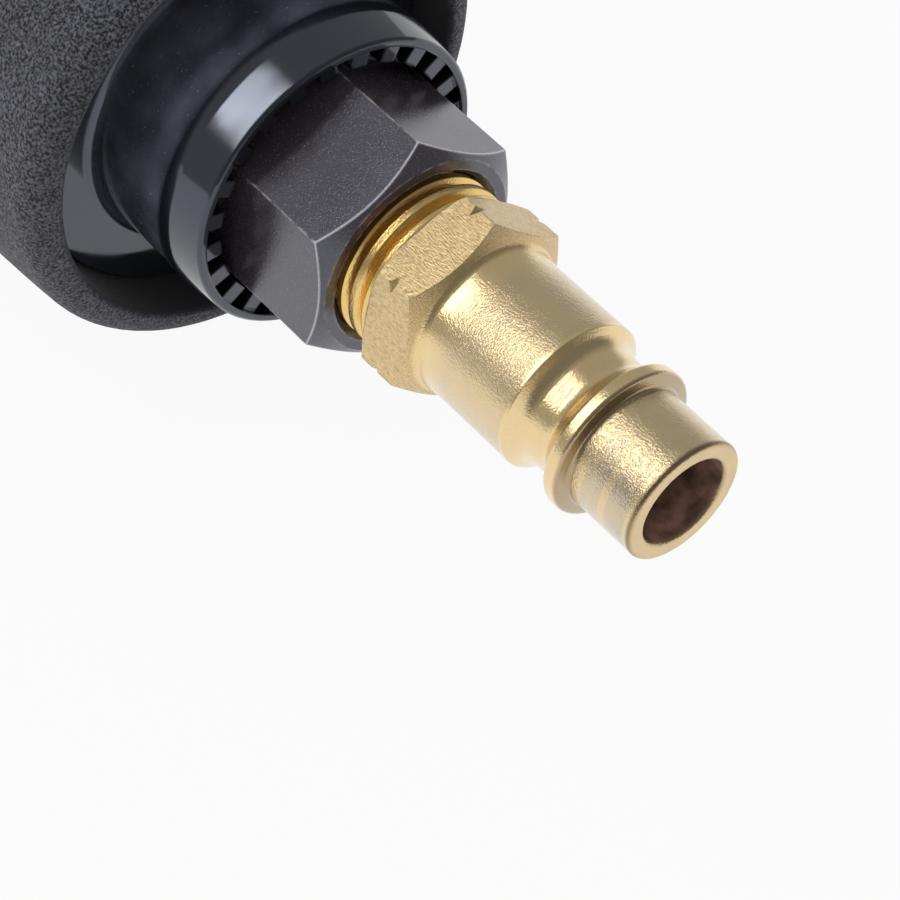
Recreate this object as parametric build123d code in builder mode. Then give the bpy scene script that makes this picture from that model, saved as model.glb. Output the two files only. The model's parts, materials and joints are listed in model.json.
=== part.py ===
"""Straight air die grinder: lever throttle, vane motor, rear exhaust, collet nose.

Millimetres. The spindle axis is X, the collet mouth is at the origin and faces +X,
the throttle lever is on top, +Z, and the air enters along +X at the rear.
"""

import os
from math import atan2, cos, radians, sin, sqrt, tan

from build123d import *

os.makedirs("parts", exist_ok=True)

# Clearances
fit = 0.05
run_gap = 0.1
free_gap = 0.4

# Stations on the spindle axis, from the collet mouth back
nut_rear = -16.0
nose_front = -27.0
flange_front = -42.0
grip_front = -47.0
plate_front = -56.5
cylinder_front = -66.0
cylinder_length = 38.2
plate_thick = 9.5
housing_rear = -148.5
grip_rear = -156.0
plug_tip = -200.15
cylinder_rear = cylinder_front - cylinder_length
bulkhead = cylinder_rear - plate_thick

# Housing and grip
grip_end_radius = 19.7
grip_radius = 20.1
grip_waist_depth = 0.8
grip_end_round = 2.2
grip_lip_wall = 2.7
grip_lip_round = 0.45
grip_swell = 9.0
grip_wall = 2.85
grip_flat_depth = 0.75
housing_wall = 1.7
grip_lip_bore = grip_end_radius - grip_lip_wall
grip_waist_radius = grip_radius - grip_waist_depth
housing_radius = grip_radius - fit - grip_wall
motor_bore = housing_radius - housing_wall
boss_radius = 9.6
boss_length = 9.0
socket_radius = 8.0
socket_depth = 8.5
exhaust_hole_radius = 1.9
exhaust_hole_edge = 0.3
exhaust_hole_angle = 25.0

# Exhaust cap
cap_rim = -164.3
cap_rim_edge = 0.2
cap_rim_radius = 11.85
cap_band_middle = -161.3
cap_band_radius = 12.17
cap_band_front = -159.8
cap_neck_radius = 12.05
cap_root_round = 0.9
cap_flange_rear = -152.15
cap_flange_edge = 0.12
cap_flange_gap = 0.35
cap_flange_wall = 2.25
cap_flange_radius = grip_lip_bore - cap_flange_gap
cap_bore = 11.2
cap_web_rear = -160.0
cap_web_bore = 8.3
chamber_step = -150.2
chamber_rear_radius = 11.25
chamber_front_radius = cap_flange_radius - cap_flange_wall
tooth_count = 24
tooth_inner = 9.7
tooth_width = 1.35
tooth_recess = 0.4
tooth_depth = 3.2
port_count = 12
port_radius = 0.95
port_circle = 10.1
felt_inner = 9.8
felt_outer = 11.05

# Inlet bushing
bushing_rear = -173.0
bushing_across_flats = 16.5
bushing_corner_angle = 37.1
bushing_hex_front = -161.0
bushing_shoulder = 8.9
bushing_bore = 4.5
bushing_face_radius = 7.9
bushing_chamfer_angle = 35.0
bushing_mouth = 7.1
thread_depth = 9.0
seal_wire = 0.5
seal_circle = 6.2
screen_thick = 0.6
screen_hole = 0.5
screen_pitch = 1.6
hex_margin = 1.0

# Coupling plug, stations from its tip
plug_bore = 3.4
plug_round = 0.3
spigot_radius = 4.72
spigot_end = 5.91
collar_radius = 5.8
collar_start = 6.12
collar_end = 7.1
neck_start = 8.1
neck_radius = 4.6
neck_end = 10.6
neck_end_radius = 4.86
neck_round = 1.3
waist_round = 1.2
shank_start = 11.25
shank_radius = 5.82
shank_end = 17.4
flare_end = 19.5
flare_radius = 5.9
plug_hex_across_flats = 13.2
plug_hex_start = 20.2
plug_hex_end = 24.4
plug_hex_face_radius = 6.45
plug_hex_face_chamfer = 0.62
plug_hex_back_radius = 6.9
plug_hex_back_chamfer = 0.5
plug_hex_corner_angle = 42.4
notch_station = 22.66
notch_radius = 7.27
notch_slope = 0.9
thread_radius = 6.55
thread_root = 5.85
thread_pitch = 1.337
thread_crest = 0.55
thread_flank = 0.15
thread_turns = 8

# Motor
cylinder_offset = 1.1
cylinder_wall = 1.15
cylinder_flat_depth = 0.9
rotor_gap = 0.1
vane_count = 5
vane_thick = 2.0
vane_root = 6.0
dowel_radius = 1.0
dowel_edge = 0.7
dowel_length = 9.0
dowel_angle = 60.0
exhaust_slot_count = 5
exhaust_slot_width = 2.4
exhaust_slot_pitch = 6.0
cylinder_bore = motor_bore - fit - cylinder_wall - cylinder_offset
cylinder_flat = motor_bore - cylinder_flat_depth
rotor_radius = cylinder_bore - cylinder_offset - rotor_gap
dowel_circle = motor_bore - dowel_edge - dowel_radius

# Bearings
bearing_width = 6.0
race_gap = 0.05
rear_bearing_bore = 3.5
rear_bearing_outside = 9.5
rear_ball_count = 7
rear_ball_radius = 1.5
front_bearing_bore = 5.0
front_bearing_outside = 11.0
front_ball_count = 9
front_ball_radius = 1.6
land_share = 0.7
shoulder_height = 0.7
washer_thick = 0.8
washer_width = 1.4

# Clamp nut, chuck and collet
nose_radius = 11.5
nose_land = 4.0
nose_bore = 8.2
flange_radius = 19.0
clamp_bore = 12.0
spanner_holes = 4
spanner_hole_turn = 45.0
spanner_hole_radius = 1.6
spanner_hole_depth = 2.5
hub_radius = 7.5
hub_flange_radius = 8.8
hub_flats = 14.0
chuck_thread_radius = 7.2
chuck_face = -5.0
shaft_thread_radius = 4.0
shaft_thread_end = -39.0
collet_bore = 3.0
collet_length = 24.0
collet_rear_radius = 4.3
collet_shoulder = -4.5
collet_shoulder_radius = 5.6
collet_face_radius = 4.6
collet_slits = 4
collet_slit_turn = 45.0
collet_slit_width = 0.8
collet_slit_end = -19.0
nut_across_flats = 17.0
nut_hex_front = -7.0
nut_neck_radius = 8.3
nut_face_radius = 6.6
nut_chamfer = 1.0

# Throttle lever, along and above its pin when squeezed home
pivot_x = -137.0
pivot_z = 22.6
lever_angle = 10.0
lever_length = 88.0
lever_width = 13.0
lever_under = -1.4
lever_over = 2.8
lever_bend = 66.0
lever_bend_round = 30.0
lever_lip = 5.0
lever_boss = 3.2
lever_edge = 0.9
tongue_width = 7.0
tongue_length = 9.0
bracket_width = 14.0
bracket_length = 12.0
bracket_base = 12.0
window_rear = -145.0
window_front = -119.0
window_width = 16.0
window_round = 3.0
lever_pin_radius = 1.5

# Safety latch, on the lever
latch_arm = 31.0
latch_height = 0.7
latch_width = 4.0
latch_blade = 3.0
latch_boss = 2.6
latch_tab = 6.2
latch_lean = 20.0
latch_foot_gap = 1.7
latch_slot_rear = 11.0
latch_slot_front = 8.5
latch_pin_radius = 1.0
latch_pocket = 2.0
latch_pocket_depth = 2.0
latch_spring_wire = 0.22
latch_spring_turns = 3

# Throttle valve
valve_x = -125.0
valve_bore = 4.5
valve_step = 3.9
valve_top = 14.2
guide_radius = 3.2
guide_collar = 3.8
guide_collar_thick = 1.0
guide_bottom = 9.5
guide_top = 18.6
stem_radius = 1.5
stem_gap = 0.15
seat_bottom = 4.6
seat_thick = 1.8
seat_bore = 2.4
head_radius = 3.7
head_thick = 1.8
pad_thick = 0.5
pad_radius = 3.6
spring_wire = 0.35
spring_radius = 2.6
spring_turns = 6
spring_length = 10.0
tail_radius = 1.8
tail_length = 3.0
plug_socket = 2.3
plug_socket_depth = 3.0
inlet_bore = 3.6
feed_bore = 1.8
feed_height = 12.0

# Speed regulator, on the right-hand side
regulator_x = -117.2
regulator_radius = 2.2
regulator_tail = 3.5
regulator_step = 0.28
regulator_head = 3.3
regulator_proud = 0.68
regulator_slot = 1.0
regulator_slot_depth = 1.2
regulator_port = 1.5
regulator_seal_wire = 0.4
regulator_seal_at = 7.5
regulator_seat = sqrt(housing_radius**2 - feed_height**2) + regulator_step

lathe = Plane.XZ
lean = radians(lever_angle)
quarter_mid = cos(radians(45))


def ring(rear, front, inner, outer):
    """A plain ring section on the lathe plane."""
    with Locations(((rear + front) / 2, (inner + outer) / 2)):
        Rectangle(front - rear, outer - inner)


def outline(*points):
    """A closed lathe section through points given as along, radius."""
    Polygon(*points, align=None)


def across(x):
    """The plane square to the spindle at a station, facing forward."""
    return Plane(origin=(x, 0, 0), x_dir=(0, 1, 0), z_dir=(1, 0, 0))


def upright(x, z):
    """The plane through a point that holds X and Z, facing the right-hand side."""
    return Plane(origin=(x, 0, z), x_dir=(1, 0, 0), z_dir=(0, -1, 0))


def save(builder, name):
    """Label a finished piece and write it."""
    builder.part.label = name
    export_step(builder.part, f"parts/{name}.step")


# Housing: motor bore, valve block, exhaust holes, lever bracket
with BuildPart() as housing:
    with BuildSketch(lathe):
        ring(housing_rear, grip_front, 0, housing_radius)
        ring(housing_rear - boss_length, housing_rear, 0, boss_radius)
    revolve(axis=Axis.X)
    with BuildSketch(upright(pivot_x, 0)):
        with Locations((0, (bracket_base + pivot_z) / 2)):
            Rectangle(bracket_length, pivot_z - bracket_base)
        with Locations((0, pivot_z)):
            Circle(lever_boss + free_gap)
    extrude(amount=bracket_width / 2, both=True)
    with BuildSketch(lathe):
        ring(bulkhead, grip_front, 0, motor_bore)
        ring(housing_rear - boss_length, housing_rear + socket_depth, 0, socket_radius + fit)
        ring(housing_rear, valve_x, 0, inlet_bore)
    revolve(axis=Axis.X, mode=Mode.SUBTRACT)
    with Locations((pivot_x, 0, pivot_z)):
        Box(
            2 * bracket_length,
            tongue_width + 2 * run_gap,
            2 * (lever_boss + free_gap),
            mode=Mode.SUBTRACT,
        )
    with BuildSketch(upright(pivot_x, pivot_z)):
        Circle(lever_pin_radius + fit)
    extrude(amount=bracket_width, both=True, mode=Mode.SUBTRACT)
    with BuildSketch(Plane.XY.offset(-housing_radius)):
        with Locations((valve_x, 0)):
            Circle(valve_bore + fit)
    extrude(amount=housing_radius + seat_bottom + seat_thick, mode=Mode.SUBTRACT)
    with BuildSketch(Plane.XY):
        with Locations((valve_x, 0)):
            Circle(valve_step)
    extrude(amount=valve_top, mode=Mode.SUBTRACT)
    with BuildSketch(Plane.XY):
        with Locations((valve_x, 0)):
            Circle(guide_radius + fit)
    extrude(amount=2 * housing_radius, mode=Mode.SUBTRACT)
    with BuildSketch(across(valve_x)):
        with Locations((0, feed_height)):
            Circle(feed_bore)
    extrude(amount=bulkhead - valve_x, mode=Mode.SUBTRACT)
    with BuildSketch(upright(regulator_x, feed_height).offset(-regulator_tail)):
        Circle(regulator_radius + fit)
    extrude(amount=2 * housing_radius, mode=Mode.SUBTRACT)
    with BuildSketch(upright(regulator_x, feed_height).offset(regulator_seat)):
        Circle(regulator_head + free_gap)
    extrude(amount=housing_radius, mode=Mode.SUBTRACT)
    hole_circle = chamber_front_radius - exhaust_hole_edge - exhaust_hole_radius
    with BuildSketch(across(housing_rear)):
        for turn in (0, 180 - 2 * exhaust_hole_angle):
            with PolarLocations(hole_circle, 2, -exhaust_hole_angle + turn, 180):
                Circle(exhaust_hole_radius)
    extrude(amount=bulkhead - housing_rear, mode=Mode.SUBTRACT)
save(housing, "housing")

# Grip sleeve: soft skin over the housing, open under the lever
with BuildPart() as grip_sleeve:
    with BuildSketch(lathe):
        grip_bore = housing_radius + fit
        grip_middle = (grip_rear + grip_front) / 2
        rear_round = min(grip_end_round, grip_end_radius - grip_lip_bore - grip_lip_round - fit)
        front_round = min(grip_end_round, grip_radius - grip_bore - fit)
        rear_top = (grip_rear + rear_round, grip_end_radius)
        front_top = (grip_front - front_round, grip_radius)
        rear_bulge = rear_round * quarter_mid
        front_bulge = front_round * quarter_mid
        lip_bulge = grip_lip_round * quarter_mid
        with BuildLine():
            Polyline(
                (grip_front, grip_bore),
                (housing_rear - fit, grip_bore),
                (housing_rear - fit, grip_lip_bore),
                (grip_rear + grip_lip_round, grip_lip_bore),
            )
            ThreePointArc(
                (grip_rear + grip_lip_round, grip_lip_bore),
                (grip_rear + grip_lip_round - lip_bulge, grip_lip_bore + grip_lip_round - lip_bulge),
                (grip_rear, grip_lip_bore + grip_lip_round),
            )
            Line(
                (grip_rear, grip_lip_bore + grip_lip_round),
                (grip_rear, grip_end_radius - rear_round),
            )
            ThreePointArc(
                (grip_rear, grip_end_radius - rear_round),
                (rear_top[0] - rear_bulge, grip_end_radius - rear_round + rear_bulge),
                rear_top,
            )
            Spline(
                rear_top,
                (grip_rear + grip_swell, grip_radius),
                (grip_rear + 2 * grip_swell, grip_radius),
                (grip_middle, grip_waist_radius),
                (grip_front - 2 * grip_swell, grip_radius),
                front_top,
            )
            ThreePointArc(
                front_top,
                (front_top[0] + front_bulge, grip_radius - front_round + front_bulge),
                (grip_front, grip_radius - front_round),
            )
            Line((grip_front, grip_radius - front_round), (grip_front, grip_bore))
        make_face()
    revolve(axis=Axis.X)
    with BuildSketch(Plane.XY):
        with Locations(((window_rear + window_front) / 2, 0)):
            RectangleRounded(window_front - window_rear, window_width, window_round)
    extrude(amount=2 * grip_radius, mode=Mode.SUBTRACT)
    with BuildSketch(upright(regulator_x, feed_height)):
        Circle(regulator_head + free_gap)
    extrude(amount=2 * grip_radius, mode=Mode.SUBTRACT)
    with Locations((grip_middle, 0, grip_flat_depth - grip_radius)):
        Box(
            2 * (grip_front - grip_rear),
            2 * grip_radius,
            grip_radius,
            align=(Align.CENTER, Align.CENTER, Align.MAX),
            mode=Mode.SUBTRACT,
        )
save(grip_sleeve, "grip_sleeve")

# Exhaust cap: round neck, flange under the grip's lip, tapered band, teeth in the rim
with BuildPart() as exhaust_cap:
    with BuildSketch(lathe):
        web_front = housing_rear - boss_length
        with BuildLine():
            Polyline(
                (cap_web_rear, cap_bore),
                (cap_rim, cap_bore),
                (cap_rim, cap_rim_radius - cap_rim_edge),
                (cap_rim + cap_rim_edge, cap_rim_radius),
            )
            Polyline(
                (cap_rim + cap_rim_edge, cap_rim_radius),
                (cap_band_middle, cap_band_radius),
                (cap_band_front, cap_band_radius),
                (cap_band_front, cap_neck_radius),
                (cap_flange_rear - cap_root_round, cap_neck_radius),
            )
            ThreePointArc(
                (cap_flange_rear - cap_root_round, cap_neck_radius),
                (
                    cap_flange_rear - cap_root_round * (1 - quarter_mid),
                    cap_neck_radius + cap_root_round * (1 - quarter_mid),
                ),
                (cap_flange_rear, cap_neck_radius + cap_root_round),
            )
            Polyline(
                (cap_flange_rear, cap_neck_radius + cap_root_round),
                (cap_flange_rear, cap_flange_radius - cap_flange_edge),
                (cap_flange_rear + cap_flange_edge, cap_flange_radius),
                (housing_rear, cap_flange_radius),
                (housing_rear, chamber_front_radius),
                (chamber_step, chamber_front_radius),
                (chamber_step, chamber_rear_radius),
                (web_front, chamber_rear_radius),
                (web_front, cap_web_bore),
                (cap_web_rear, cap_web_bore),
                (cap_web_rear, cap_bore),
            )
        make_face()
    revolve(axis=Axis.X)
    with BuildSketch(across(cap_rim + tooth_recess)):
        with PolarLocations((tooth_inner + cap_bore + fit) / 2, tooth_count):
            Rectangle(cap_bore + fit - tooth_inner, tooth_width)
    extrude(amount=tooth_depth)
    with BuildSketch(across(cap_web_rear)):
        with PolarLocations(port_circle, port_count):
            Circle(port_radius)
    extrude(amount=web_front - cap_web_rear, mode=Mode.SUBTRACT)
save(exhaust_cap, "exhaust_cap")

# Silencer: felt ring between the cap and the housing
with BuildPart() as silencer:
    with BuildSketch(lathe):
        ring(web_front, chamber_step, felt_inner, felt_outer)
    revolve(axis=Axis.X)
save(silencer, "silencer")

# Inlet bushing: hex outside, taper of the corners at its rear face, pipe thread inside
with BuildPart() as inlet_bushing:
    bushing_corner = bushing_across_flats / 2 / cos(radians(30))
    bushing_shank_front = housing_rear + socket_depth - 2 * seal_wire
    with BuildSketch(across(bushing_rear)):
        RegularPolygon(bushing_corner, 6, rotation=bushing_corner_angle)
    extrude(amount=bushing_hex_front - bushing_rear)
    bushing_cut = bushing_corner + hex_margin
    chamfer_run = (bushing_cut - bushing_face_radius) * tan(radians(bushing_chamfer_angle))
    with BuildSketch(lathe):
        outline(
            (bushing_rear, bushing_face_radius),
            (bushing_rear, bushing_cut),
            (bushing_rear + chamfer_run, bushing_cut),
        )
    revolve(axis=Axis.X, mode=Mode.SUBTRACT)
    with BuildSketch(lathe):
        ring(bushing_hex_front, cap_web_rear, 0, bushing_shoulder)
        ring(cap_web_rear, bushing_shank_front, 0, socket_radius)
    revolve(axis=Axis.X)
    mouth_depth = bushing_mouth - thread_radius - fit
    with BuildSketch(lathe):
        ring(bushing_rear, bushing_shank_front, 0, bushing_bore)
        ring(bushing_rear, bushing_rear + thread_depth, 0, thread_radius + fit)
        outline(
            (bushing_rear, 0),
            (bushing_rear, bushing_mouth),
            (bushing_rear + mouth_depth, thread_radius + fit),
            (bushing_rear + mouth_depth, 0),
        )
    revolve(axis=Axis.X, mode=Mode.SUBTRACT)
save(inlet_bushing, "inlet_bushing")

# Inlet seal: ring between the bushing and the bottom of its socket
with BuildPart() as inlet_seal:
    with BuildSketch(lathe):
        with Locations((bushing_shank_front + seal_wire, seal_circle)):
            Circle(seal_wire)
    revolve(axis=Axis.X)
save(inlet_seal, "inlet_seal")

# Inlet screen: drilled disc at the bottom of the bushing's thread
with BuildPart() as inlet_screen:
    screen_front = bushing_rear + thread_depth
    with BuildSketch(across(screen_front)):
        Circle(thread_radius - fit)
        Circle(screen_hole, mode=Mode.SUBTRACT)
        for circle in (1, 2):
            with PolarLocations(circle * screen_pitch, 6 * circle):
                Circle(screen_hole, mode=Mode.SUBTRACT)
    extrude(amount=-screen_thick)
save(inlet_screen, "inlet_screen")

# Coupling plug: spigot, collar, waist, shank, hex with notched corners, pipe thread
with BuildPart() as air_plug:
    thread_end = bushing_rear + thread_depth - screen_thick
    shank_front = plug_tip + shank_start
    hex_tip = plug_tip + plug_hex_start
    hex_back = plug_tip + plug_hex_end
    collar_foot = (plug_tip + (collar_end + neck_start) / 2, (collar_radius + neck_radius) / 2)
    neck_middle = (plug_tip + (neck_start + neck_end) / 2, (neck_radius + neck_end_radius) / 2)
    flare_tip = (plug_tip + flare_end, flare_radius)
    flare_angle = 2 * atan2(flare_radius - shank_radius, flare_end - shank_end)
    with BuildSketch(lathe):
        with BuildLine():
            FilletPolyline(
                (plug_tip + spigot_end, plug_bore),
                (plug_tip, plug_bore),
                (plug_tip, spigot_radius),
                (plug_tip + spigot_end, spigot_radius),
                (plug_tip + collar_start, collar_radius),
                (plug_tip + collar_end, collar_radius),
                collar_foot,
                radius=plug_round,
            )
            FilletPolyline(
                collar_foot,
                (plug_tip + neck_start, neck_radius),
                neck_middle,
                radius=neck_round,
            )
            FilletPolyline(
                neck_middle,
                (plug_tip + neck_end, neck_end_radius),
                (shank_front, shank_radius),
                radius=waist_round,
            )
            turns = [(hex_back, thread_radius)]
            for turn in range(thread_turns):
                crest_end = hex_back + thread_pitch * turn + thread_crest
                turns.append((crest_end, thread_radius))
                turns.append((crest_end + thread_flank, thread_root))
                turns.append((crest_end + 2 * thread_flank, thread_root))
                turns.append((crest_end + thread_pitch - thread_crest, thread_radius))
            Line((shank_front, shank_radius), (plug_tip + shank_end, shank_radius))
            TangentArc(
                (plug_tip + shank_end, shank_radius),
                flare_tip,
                tangent=(1, 0),
            )
            TangentArc(
                flare_tip,
                (hex_tip, plug_hex_face_radius),
                tangent=(cos(flare_angle), sin(flare_angle)),
            )
            Polyline(
                (hex_tip, plug_hex_face_radius),
                (hex_tip, thread_radius),
                *turns,
                (thread_end, thread_root),
                (thread_end, plug_bore),
                (plug_tip + spigot_end, plug_bore),
            )
        make_face()
    revolve(axis=Axis.X)
    plug_corner = plug_hex_across_flats / 2 / cos(radians(30))
    plug_cut = plug_corner + hex_margin
    with BuildSketch(across(hex_tip)):
        RegularPolygon(plug_corner, 6, rotation=plug_hex_corner_angle)
        Circle(shank_radius - run_gap, mode=Mode.SUBTRACT)
    extrude(amount=plug_hex_end - plug_hex_start)
    with BuildSketch(lathe):
        outline(
            (hex_tip, plug_hex_face_radius),
            (hex_tip, plug_cut),
            (hex_tip + (plug_cut - plug_hex_face_radius) * plug_hex_face_chamfer, plug_cut),
        )
        outline(
            (hex_back, plug_hex_back_radius),
            (hex_back, plug_cut),
            (hex_back - (plug_cut - plug_hex_back_radius) * plug_hex_back_chamfer, plug_cut),
        )
        outline(
            (plug_tip + notch_station, notch_radius),
            (plug_tip + notch_station - (plug_cut - notch_radius) * notch_slope, plug_cut),
            (plug_tip + notch_station + (plug_cut - notch_radius) * notch_slope, plug_cut),
        )
    revolve(axis=Axis.X, mode=Mode.SUBTRACT)
save(air_plug, "air_plug")

# Valve guide: bush that carries the stem, seated from below
with BuildPart() as valve_guide:
    with BuildSketch(Plane.XY.offset(guide_bottom)):
        with Locations((valve_x, 0)):
            Circle(guide_radius)
    extrude(amount=guide_top - guide_bottom)
    with BuildSketch(Plane.XY.offset(valve_top - guide_collar_thick)):
        with Locations((valve_x, 0)):
            Circle(guide_collar)
    extrude(amount=guide_collar_thick)
    with BuildSketch(Plane.XY.offset(guide_bottom)):
        with Locations((valve_x, 0)):
            Circle(stem_radius + fit)
    extrude(amount=guide_top - guide_bottom, mode=Mode.SUBTRACT)
save(valve_guide, "valve_guide")

# Valve seat: ring under the step of the chamber
with BuildPart() as valve_seat:
    with BuildSketch(Plane.XY.offset(seat_bottom)):
        with Locations((valve_x, 0)):
            Circle(valve_bore)
            Circle(seat_bore, mode=Mode.SUBTRACT)
    extrude(amount=seat_thick)
save(valve_seat, "valve_seat")

# Valve stem: rod from the lever down to the head, with a tail inside the spring
head_top = seat_bottom - fit - pad_thick
head_bottom = head_top - head_thick
stem_arm = valve_x - pivot_x - stem_radius
stem_top = pivot_z + stem_arm * tan(lean) + lever_under / cos(lean) - stem_gap
with BuildPart() as valve_stem:
    with BuildSketch(Plane.XY.offset(head_bottom)):
        with Locations((valve_x, 0)):
            Circle(head_radius)
    extrude(amount=head_thick)
    with BuildSketch(Plane.XY.offset(head_bottom)):
        with Locations((valve_x, 0)):
            Circle(stem_radius)
    extrude(amount=stem_top - head_bottom)
    with BuildSketch(Plane.XY.offset(head_bottom)):
        with Locations((valve_x, 0)):
            Circle(tail_radius)
    extrude(amount=-tail_length)
save(valve_stem, "valve_stem")

# Valve seal: rubber washer on the head
with BuildPart() as valve_seal:
    with BuildSketch(Plane.XY.offset(head_top)):
        with Locations((valve_x, 0)):
            Circle(pad_radius)
            Circle(stem_radius + fit, mode=Mode.SUBTRACT)
    extrude(amount=pad_thick)
save(valve_seal, "valve_seal")

# Valve spring: coil between the head and the plug
with BuildPart() as valve_spring:
    coil_bottom = head_bottom - spring_length
    coil_height = spring_length - 2 * spring_wire
    with BuildLine() as coil:
        Helix(
            coil_height / spring_turns,
            coil_height,
            spring_radius,
            center=(valve_x, 0, coil_bottom + spring_wire),
        )
    with BuildSketch(Plane(origin=coil.line @ 0, z_dir=coil.line % 0)):
        Circle(spring_wire - fit / 2)
    sweep(is_frenet=True)
save(valve_spring, "valve_spring")

# Valve plug: screwed in below the spring, with a hexagon socket
with BuildPart() as valve_plug:
    plug_bottom = -housing_radius + run_gap
    with BuildSketch(Plane.XY.offset(plug_bottom)):
        with Locations((valve_x, 0)):
            Circle(valve_bore)
    extrude(amount=coil_bottom - plug_bottom)
    with BuildSketch(Plane.XY.offset(plug_bottom)):
        with Locations((valve_x, 0)):
            RegularPolygon(plug_socket, 6)
    extrude(amount=plug_socket_depth, mode=Mode.SUBTRACT)
    with BuildSketch(across(valve_x)):
        Circle(housing_radius)
    extrude(amount=2 * valve_bore, both=True, mode=Mode.INTERSECT)
save(valve_plug, "valve_plug")

# Speed regulator: cross-drilled spindle with a slotted head
with BuildPart() as regulator:
    regulator_end = sqrt(grip_radius**2 - feed_height**2) + regulator_proud
    with BuildSketch(upright(regulator_x, feed_height).offset(-regulator_tail)):
        Circle(regulator_radius)
    extrude(amount=regulator_tail + regulator_seat)
    with BuildSketch(upright(regulator_x, feed_height).offset(regulator_seat)):
        Circle(regulator_head)
    extrude(amount=regulator_end - regulator_seat)
    with BuildSketch(upright(regulator_x, feed_height).offset(regulator_end)):
        Rectangle(3 * regulator_head, regulator_slot)
    extrude(amount=-regulator_slot_depth, mode=Mode.SUBTRACT)
    with BuildSketch(across(regulator_x)):
        with Locations((0, feed_height)):
            Circle(regulator_port)
    extrude(amount=2 * regulator_radius, both=True, mode=Mode.SUBTRACT)
    with BuildSketch(Plane.XY.offset(feed_height)):
        with Locations((regulator_x + regulator_radius, -regulator_seal_at)):
            Rectangle(4 * regulator_seal_wire + 2 * fit, 2 * (regulator_seal_wire + fit))
    revolve(
        axis=Axis((regulator_x, 0, feed_height), (0, 1, 0)),
        mode=Mode.SUBTRACT,
    )
save(regulator, "regulator")

# Regulator seal: ring in the spindle's groove
with BuildPart() as regulator_seal:
    with BuildSketch(Plane.XY.offset(feed_height)):
        with Locations((regulator_x + regulator_radius - regulator_seal_wire, -regulator_seal_at)):
            Circle(regulator_seal_wire)
    revolve(axis=Axis((regulator_x, 0, feed_height), (0, 1, 0)))
save(regulator_seal, "regulator_seal")

# Rear end plate: bearing pocket at its rear, air port above, dowel hole
bearing_rear_front = bulkhead + washer_thick + bearing_width
with BuildPart() as rear_plate:
    with BuildSketch(lathe):
        ring(bulkhead, cylinder_rear, 0, motor_bore - fit)
    revolve(axis=Axis.X)
    with BuildSketch(lathe):
        ring(bulkhead, bearing_rear_front, 0, rear_bearing_outside + fit)
        ring(bulkhead, cylinder_rear, 0, rear_bearing_bore + shoulder_height + free_gap)
    revolve(axis=Axis.X, mode=Mode.SUBTRACT)
    with BuildSketch(across(bulkhead)):
        with Locations((0, feed_height)):
            Circle(feed_bore)
    extrude(amount=plate_thick, mode=Mode.SUBTRACT)
    with BuildSketch(across(cylinder_rear)):
        with PolarLocations(dowel_circle, 1, dowel_angle):
            Circle(dowel_radius + fit)
    extrude(amount=-dowel_length / 2, mode=Mode.SUBTRACT)
    with BuildSketch(across(bulkhead)):
        with PolarLocations(motor_bore + cylinder_flat - rear_bearing_outside, 2):
            Rectangle(2 * (motor_bore - rear_bearing_outside), motor_bore / 2)
    extrude(amount=plate_thick, mode=Mode.SUBTRACT)
save(rear_plate, "rear_plate")

# Cylinder: bore set off the spindle axis, exhaust slots low on both sides
with BuildPart() as cylinder:
    with BuildSketch(across(cylinder_rear)):
        Circle(motor_bore - fit)
        with Locations((0, -cylinder_offset)):
            Circle(cylinder_bore, mode=Mode.SUBTRACT)
        with PolarLocations(dowel_circle, 1, dowel_angle):
            Circle(dowel_radius + fit, mode=Mode.SUBTRACT)
        with PolarLocations(motor_bore + cylinder_flat - rear_bearing_outside, 2):
            Rectangle(
                2 * (motor_bore - rear_bearing_outside),
                motor_bore / 2,
                mode=Mode.SUBTRACT,
            )
    extrude(amount=cylinder_length)
    with BuildSketch(upright((cylinder_rear + cylinder_front) / 2, 0)):
        with GridLocations(exhaust_slot_pitch, 1, exhaust_slot_count, 1):
            SlotOverall(cylinder_offset + 2 * exhaust_slot_width, exhaust_slot_width, rotation=90)
    extrude(amount=motor_bore, both=True, mode=Mode.SUBTRACT)
save(cylinder, "cylinder")

# Cylinder dowel: keeps the cylinder from turning on the rear plate
with BuildPart() as cylinder_dowel:
    with BuildSketch(across(cylinder_rear - dowel_length / 2)):
        with PolarLocations(dowel_circle, 1, dowel_angle):
            Circle(dowel_radius)
    extrude(amount=dowel_length)
save(cylinder_dowel, "cylinder_dowel")

# Front end plate: bearing pocket at its front
bearing_front_rear = plate_front - bearing_width
with BuildPart() as front_plate:
    with BuildSketch(lathe):
        ring(cylinder_front, plate_front, 0, motor_bore - fit)
    revolve(axis=Axis.X)
    with BuildSketch(lathe):
        ring(bearing_front_rear, plate_front, 0, front_bearing_outside + fit)
        ring(cylinder_front, plate_front, 0, front_bearing_bore + shoulder_height + free_gap)
    revolve(axis=Axis.X, mode=Mode.SUBTRACT)
save(front_plate, "front_plate")

# Wave washer: loads the rear bearing against its pocket
with BuildPart() as wave_washer:
    with BuildSketch(lathe):
        ring(
            bulkhead,
            bulkhead + washer_thick,
            rear_bearing_outside - washer_width,
            rear_bearing_outside,
        )
    revolve(axis=Axis.X)
save(wave_washer, "wave_washer")

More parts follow.
